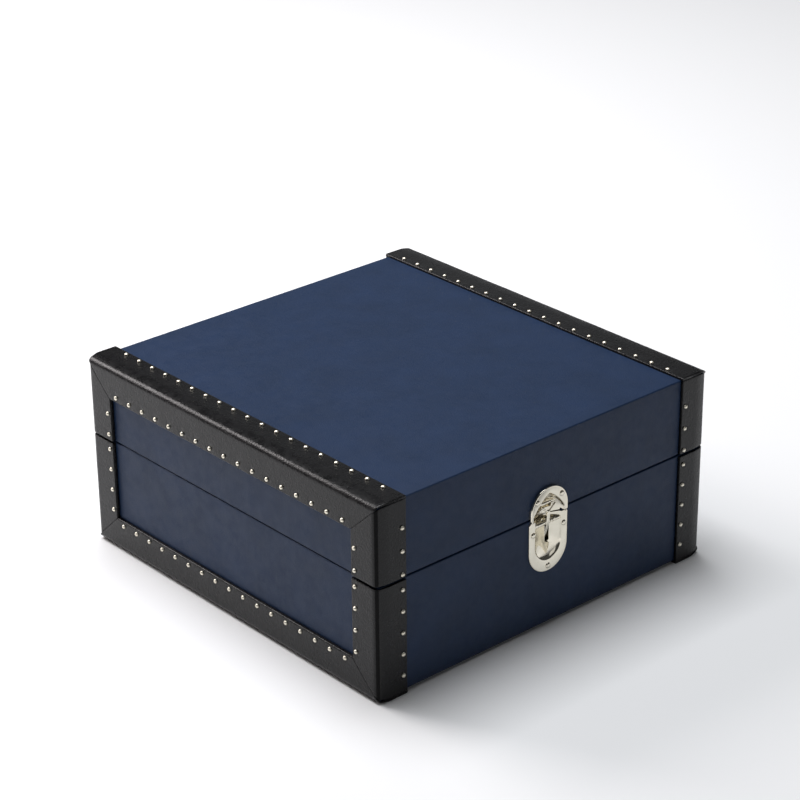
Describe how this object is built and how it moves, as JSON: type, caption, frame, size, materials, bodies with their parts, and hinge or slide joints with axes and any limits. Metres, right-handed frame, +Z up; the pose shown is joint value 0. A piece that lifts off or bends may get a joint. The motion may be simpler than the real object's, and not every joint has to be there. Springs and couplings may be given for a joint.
{
  "type": "leather jewellery case",
  "caption": "Square trunk-style jewellery case in leather with studded end trims, a hinged lid, a rocker catch and a lift-out tray.",
  "frame": {"origin": "centre of the case's footprint, on the surface that it stands on", "axes": "+X to the right along the front, +Y from the front (catch) to the back (hinges), +Z up"},
  "size_m": [0.3, 0.3097, 0.143],
  "materials": {
    "navy_leather": "fine-grained navy leather, semi-matt",
    "black_leather": "smooth black leather with a satin sheen",
    "wood": "plain sanded board, covered all over",
    "lining_suede": "warm grey microsuede glued on card",
    "tray_suede": "warm grey microsuede over thin board",
    "padded_suede": "padded warm grey microsuede",
    "nickel": "polished nickel plate with a warm tint",
    "spring_steel": "bright wire"
  },
  "bodies": {
    "base": {"base_carcass": "wood", "base_cover": "navy_leather", "base_divider_back": "tray_suede", "base_divider_front": "tray_suede", "base_divider_long": "tray_suede", "base_end_panel_left": "navy_leather", "base_end_panel_right": "navy_leather", "base_lining": "lining_suede", "base_trim_back_left": "black_leather", "base_trim_back_right": "black_leather", "base_trim_bottom_left": "black_leather", "base_trim_bottom_right": "black_leather", "base_trim_front_left": "black_leather", "base_trim_front_right": "black_leather", "catch_base_plate": "nickel", "catch_pin": "nickel", "catch_screw_base_left": "nickel", "catch_screw_base_right": "nickel", "catch_screw_bottom": "nickel", "catch_spring": "spring_steel", "hinge_base_leaf_left": "nickel", "hinge_base_leaf_right": "nickel", "hinge_pin_left": "nickel", "hinge_pin_right": "nickel"},
    "lid": {"catch_keeper": "nickel", "catch_lid_plate": "nickel", "catch_screw_lid_left": "nickel", "catch_screw_lid_right": "nickel", "hinge_lid_leaf_left": "nickel", "hinge_lid_leaf_right": "nickel", "lid_carcass": "wood", "lid_cover": "navy_leather", "lid_end_panel_left": "navy_leather", "lid_end_panel_right": "navy_leather", "lid_lining": "lining_suede", "lid_pad": "padded_suede", "lid_trim_back_left": "black_leather", "lid_trim_back_right": "black_leather", "lid_trim_front_left": "black_leather", "lid_trim_front_right": "black_leather", "lid_trim_top_left": "black_leather", "lid_trim_top_right": "black_leather"},
    "lever": {"catch_lever": "nickel"},
    "tray": {"ring_roll_1": "padded_suede", "ring_roll_2": "padded_suede", "ring_roll_3": "padded_suede", "ring_roll_4": "padded_suede", "ring_roll_5": "padded_suede", "tray_body": "tray_suede", "tray_divider_back": "tray_suede", "tray_divider_front_right": "tray_suede", "tray_divider_middle": "tray_suede", "tray_divider_middle_left": "tray_suede", "tray_divider_middle_right": "tray_suede", "tray_divider_ring_end": "tray_suede", "tray_divider_row_back": "tray_suede", "tray_divider_row_front": "tray_suede", "tray_tab_left": "navy_leather", "tray_tab_right": "navy_leather"}
  },
  "joints": [
    {"name": "lid_hinge", "type": "hinge", "parent": "base", "child": "lid", "pos_m": [0, 0.1537, 0.0845], "axis": [-1, 0, 0], "range_deg": [0, 100]},
    {"name": "lever_rock", "type": "hinge", "parent": "base", "child": "lever", "pos_m": [0, -0.1495, 0.078], "axis": [1, 0, 0], "range_deg": [0, 12], "stiffness_Nm_per_rad": 0.02, "springref_deg": -17.19},
    {"name": "tray_lift", "type": "slide", "parent": "base", "child": "tray", "axis": [0, 0, 1], "range_m": [0, 0.038]}
  ]
}
